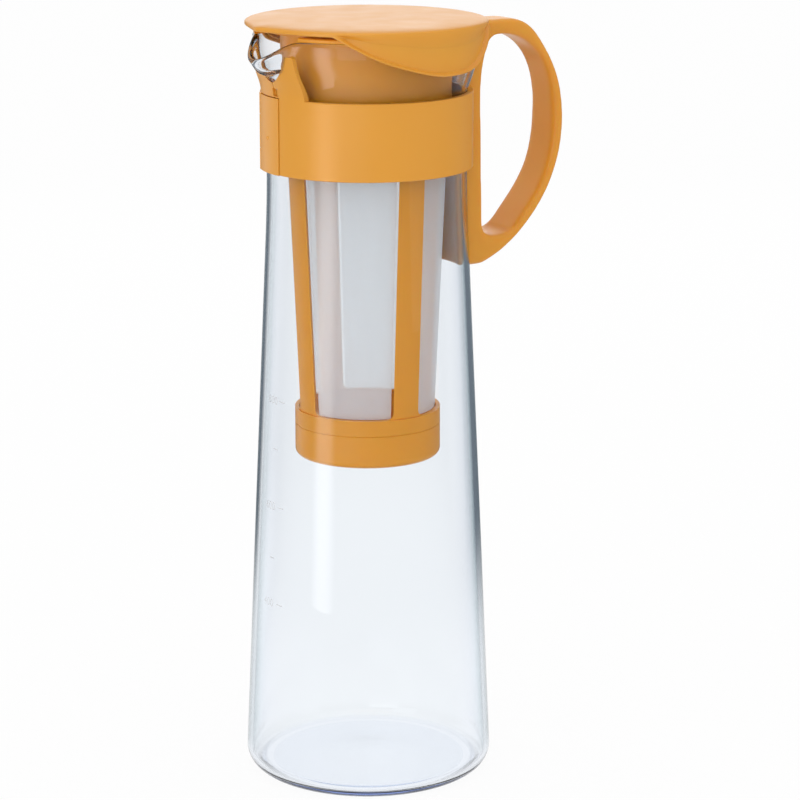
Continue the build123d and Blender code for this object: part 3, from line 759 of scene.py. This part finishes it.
MARK_STAND_OFF = 0.03
MARKS = (("800", 154.0, 7.0), ("600", 112.5, 6.0), ("400", 74.0, 5.0))     # numeral, height, start angle
NUMERAL_SIZE, NUMERAL_DROP = 4.6, 0.35    # the drop puts a numeral's middle level with its line
NUMERAL_RESOLUTION = 3
LINE_ASIDE, LINE_LENGTH = 13.5, 3.4       # degrees from the numeral's start to its line
TICK_HEIGHTS = (135.0, 92.0)
TICK_ANGLE, TICK_LENGTH = -1.5, 3.0
LINE_HALF_WIDTH = 0.25
LINE_STEPS = 6


def on_glass(angle, height):
    """Point just outside the glass; the angle is from the spout, positive towards +Y."""
    radius = float(wall_radius(height)) + MARK_STAND_OFF
    turn = math.radians(angle)
    return (-radius * math.cos(turn), radius * math.sin(turn), height)


def wrap_text(name, text, height, start_angle):
    """A numeral laid round the glass, reading from the start angle towards -Y."""
    curve = bpy.data.curves.new(name, "FONT")
    curve.body = text
    curve.size = NUMERAL_SIZE
    curve.resolution_u = NUMERAL_RESOLUTION
    mesh = final_mesh(link_new(name, curve))
    radius = float(wall_radius(height))
    for vertex in mesh.vertices:
        angle = start_angle - math.degrees(vertex.co.x / radius)
        place = on_glass(angle, height + vertex.co.y - NUMERAL_SIZE * NUMERAL_DROP)
        vertex.co = Vector(place) * MM
    marks = link_new(name, mesh)
    dress(marks, INK)
    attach(marks, "jug")


def make_tick(name, height, middle_angle, length):
    """A short printed line."""
    points, faces = [], []
    half = math.degrees(length / 2 / float(wall_radius(height)))
    for i in range(LINE_STEPS + 1):
        angle = middle_angle + half - 2 * half * i / LINE_STEPS
        points += [on_glass(angle, height - LINE_HALF_WIDTH), on_glass(angle, height + LINE_HALF_WIDTH)]
    for i in range(LINE_STEPS):
        faces.append((2 * i, 2 * i + 2, 2 * i + 3, 2 * i + 1))
    tick = new_mesh(name, points, faces)
    dress(tick, INK)
    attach(tick, "jug")


for numeral, mark_height, mark_start in MARKS:
    wrap_text(f"mark_{numeral}", numeral, mark_height, mark_start)
    make_tick(f"mark_{numeral}_line", mark_height, mark_start - LINE_ASIDE, LINE_LENGTH)
for tick_height in TICK_HEIGHTS:
    make_tick(f"tick_{int(tick_height)}", tick_height, TICK_ANGLE, TICK_LENGTH)

# ---------------------------------------------------------------- handle

HANDLE_VOXEL = 0.7
HANDLE_RELAX, HANDLE_ROUNDS = 0.5, 44     # strength and rounds of smoothing


def make_handle():
    """Loop handle with its edges melted round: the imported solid, remeshed and relaxed."""
    draft = link_new("handle_soft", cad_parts["handle"].data.copy())
    remesh = draft.modifiers.new("remesh", "REMESH")
    remesh.mode = "VOXEL"
    remesh.voxel_size = HANDLE_VOXEL * MM
    relax = draft.modifiers.new("relax", "SMOOTH")
    relax.factor = HANDLE_RELAX
    relax.iterations = HANDLE_ROUNDS
    mesh = final_mesh(draft)
    shade_smooth(mesh)
    handle = link_new("handle_soft", mesh)
    dress(handle, HANDLE_ORANGE)
    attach(handle, "jug")
    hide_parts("handle")


make_handle()

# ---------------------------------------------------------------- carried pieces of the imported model

for node_name in ("neck_band", "band_latch", "lid_rest_ring", "lid_plug_ring"):
    dress(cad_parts[node_name], ORANGE)
for node_name in (
    "strainer_flange", "strainer_collar",
    "strainer_rib_1", "strainer_rib_2", "strainer_rib_3", "strainer_rib_4",
    "strainer_ring", "strainer_cap",
):
    dress(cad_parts[node_name], STRAINER_PAINTED_LIGHT_ORANGE)
dress(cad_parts["latch_pin"], STEEL)

# ---------------------------------------------------------------- floor, light and background

WHITE = (1.0, 1.0, 1.0)
FLOOR_SIZE = 6000.0
FLOOR_TONE = (0.86, 0.86, 0.86)
FLOOR_GLOW = 0.93                 # how much of the floor's white is the plain background's
AMBIENT = 0.97
SWEEP_SIDE = 155.0                # the middle of the bright sweep, degrees to the camera's left
SWEEP_END, SWEEP_FULL = 0.57, 0.82    # cosines from that middle
DARK_SIDE = (0.19, 0.22, 0.25)
CARD_SIDES = (157.0, 203.0)       # two dark cards behind the jug that draw its outline
CARD_EDGE, CARD_FULL = 0.974, 0.9925  # cosines from the middle of a card
OVERHEAD = (0.55, 0.90)           # how steeply up the light ceiling starts, and is full
LIT_FLOOR = (150.0, 420.0)        # radii between which the floor turns dark in reflections
TARGET = Vector((0.0, 0.0, 150.0)) * MM   # what the lamps face
STRIP_FADE = (0.0, 0.4)           # from the strip lamp's long side, as a share of its width
STRIP_CLIMB = (-1.0, 0.6)         # as a share of its height, so that it is dimmest at its foot


def toward_side(tree, heading, side_angle):
    """Cosine between a level direction and one given to the camera's left."""
    sockets = {0: heading, 1: around_camera(side_angle)}
    return add_node(tree, "ShaderNodeVectorMath", sockets, operation="DOT_PRODUCT").outputs["Value"]


def toward_sweep(tree, direction):
    """1 towards the bright sweep behind the jug, 0 towards its two dark cards and the studio's dark side."""
    level = add_node(tree, "ShaderNodeVectorMath", {0: direction, 1: (1.0, 1.0, 0.0)}, operation="MULTIPLY")
    heading = add_node(tree, "ShaderNodeVectorMath", {0: level.outputs["Vector"]}, operation="NORMALIZE")
    heading = heading.outputs["Vector"]
    bright = soft_step(tree, toward_side(tree, heading, SWEEP_SIDE), SWEEP_END, SWEEP_FULL)
    for side in CARD_SIDES:
        card = soft_step(tree, toward_side(tree, heading, side), CARD_EDGE, CARD_FULL)
        bright = product(tree, bright, remainder(tree, card))
    return bright


def overhead(tree, direction):
    """1 straight up, where the studio's ceiling is light, 0 at the sides."""
    return soft_step(tree, parts_of(tree, direction)["Z"], *OVERHEAD)


def near_jug(tree, position):
    """1 on the lit floor close round the jug, 0 further off."""
    radius = add_node(tree, "ShaderNodeVectorMath", {0: position}, operation="LENGTH").outputs["Value"]
    return remainder(tree, soft_step(tree, radius, LIT_FLOOR[0] * MM, LIT_FLOOR[1] * MM))


def background_share(tree, bright):
    """Two shares: rays that show the background, and rays that came off gloss.

    Rays from the camera and straight through glass show the white background. Rays that came off gloss
    show it only where the studio is bright, and its dark side elsewhere. Light on its way to a matt surface
    has no dark side.
    """
    path = add_node(tree, "ShaderNodeLightPath").outputs
    off_gloss, off_matt = (
        add_node(tree, "ShaderNodeClamp", {"Value": path[count]}).outputs["Result"]
        for count in ("Glossy Depth", "Diffuse Depth")
    )
    in_mirror = product(tree, off_gloss, remainder(tree, off_matt))
    straight = product(tree, path["Is Transmission Ray"], remainder(tree, in_mirror))
    seen = larger(tree, path["Is Camera Ray"], straight)
    return larger(tree, seen, product(tree, in_mirror, bright)), in_mirror


def make_floor():
    """White floor that still takes the jug's shadow."""
    half = FLOOR_SIZE / 2
    corners = ((-half, -half), (half, -half), (half, half), (-half, half))
    floor = new_mesh("floor", [(x, y, 0.0) for x, y in corners], [(0, 1, 2, 3)])
    material, tree = new_material("floor_white")
    position = add_node(tree, "ShaderNodeNewGeometry").outputs["Position"]
    bright = larger(tree, toward_sweep(tree, position), near_jug(tree, position))
    shown, mirrored = background_share(tree, bright)
    matt = add_node(tree, "ShaderNodeBsdfDiffuse", {"Color": opaque(FLOOR_TONE)}).outputs["BSDF"]
    lit = mix_shaders(tree, mirrored, matt, glowing(tree, DARK_SIDE))
    show(tree, Surface=mix_shaders(tree, product(tree, shown, FLOOR_GLOW), lit, glowing(tree, WHITE)))
    floor.data.materials.append(material)


def backdrop(tree, tone, strength):
    """The world in one tone."""
    sockets = {"Color": opaque(tone), "Strength": strength}
    return add_node(tree, "ShaderNodeBackground", sockets).outputs["Background"]


def make_world():
    """Even light on the object, plain white where the background shows, and a dark side for reflections."""
    world = bpy.data.worlds.new("studio")
    world.use_nodes = True
    tree = world.node_tree
    tree.nodes.clear()
    direction = add_node(tree, "ShaderNodeTexCoord").outputs["Generated"]
    bright = larger(tree, toward_sweep(tree, direction), overhead(tree, direction))
    shown, mirrored = background_share(tree, bright)
    light = mix_shaders(tree, mirrored, backdrop(tree, WHITE, AMBIENT), backdrop(tree, DARK_SIDE, 1.0))
    surface = mix_shaders(tree, shown, light, backdrop(tree, WHITE, 1.0))
    add_node(tree, "ShaderNodeOutputWorld", {"Surface": surface})
    bpy.context.scene.world = world


def softbox(name, side_angle, elevation, distance, width, height, watts):
    """A soft lamp, placed by its angle to the camera's left and above the floor, with sizes in metres."""
    data = bpy.data.lights.new(name, "AREA")
    data.shape = "RECTANGLE"
    data.size = width
    data.size_y = height
    data.energy = watts
    lamp = link_new(name, data)
    rise = math.radians(elevation)
    towards = around_camera(side_angle) * math.cos(rise) + Vector((0.0, 0.0, math.sin(rise)))
    lamp.location = TARGET + distance * towards
    lamp.rotation_euler = (lamp.location - TARGET).to_track_quat("Z", "Y").to_euler()
    lamp.visible_camera = False
    return lamp


def soften_sides(lamp):
    """Fades a strip lamp towards its long sides and its foot, and keeps it to reflections."""
    lamp.data.use_nodes = True
    tree = lamp.data.node_tree
    across = parts_of(tree, add_node(tree, "ShaderNodeNewGeometry").outputs["Parametric"])
    from_side = calculate(tree, "PINGPONG", across["X"], 0.5)
    fade = soft_step(tree, from_side, *STRIP_FADE)
    climb = soft_step(tree, across["Y"], *STRIP_CLIMB)
    tree.links.new(product(tree, fade, climb), tree.nodes["Emission"].inputs["Strength"])
    lamp.visible_diffuse = False
    lamp.visible_transmission = False


make_floor()
make_world()
softbox("key", side_angle=42.0, elevation=26.0, distance=1.3, width=0.5, height=0.9, watts=1.0)
softbox("front", side_angle=15.0, elevation=8.0, distance=1.5, width=0.8, height=0.6, watts=1.95)
side = softbox("side", side_angle=-62.0, elevation=8.0, distance=1.3, width=0.5, height=0.7, watts=0.55)
side.visible_glossy = False
softbox("overhead", side_angle=20.0, elevation=72.0, distance=1.2, width=0.6, height=0.6, watts=0.5)
back = softbox("top_back", side_angle=178.0, elevation=17.0, distance=1.3, width=1.2, height=0.4, watts=0.9)
back.visible_transmission = False
soften_sides(
    softbox("strip", side_angle=43.0, elevation=-3.5, distance=0.36, width=0.17, height=0.25, watts=0.62)
)

bpy.context.scene.view_settings.view_transform = "Standard"
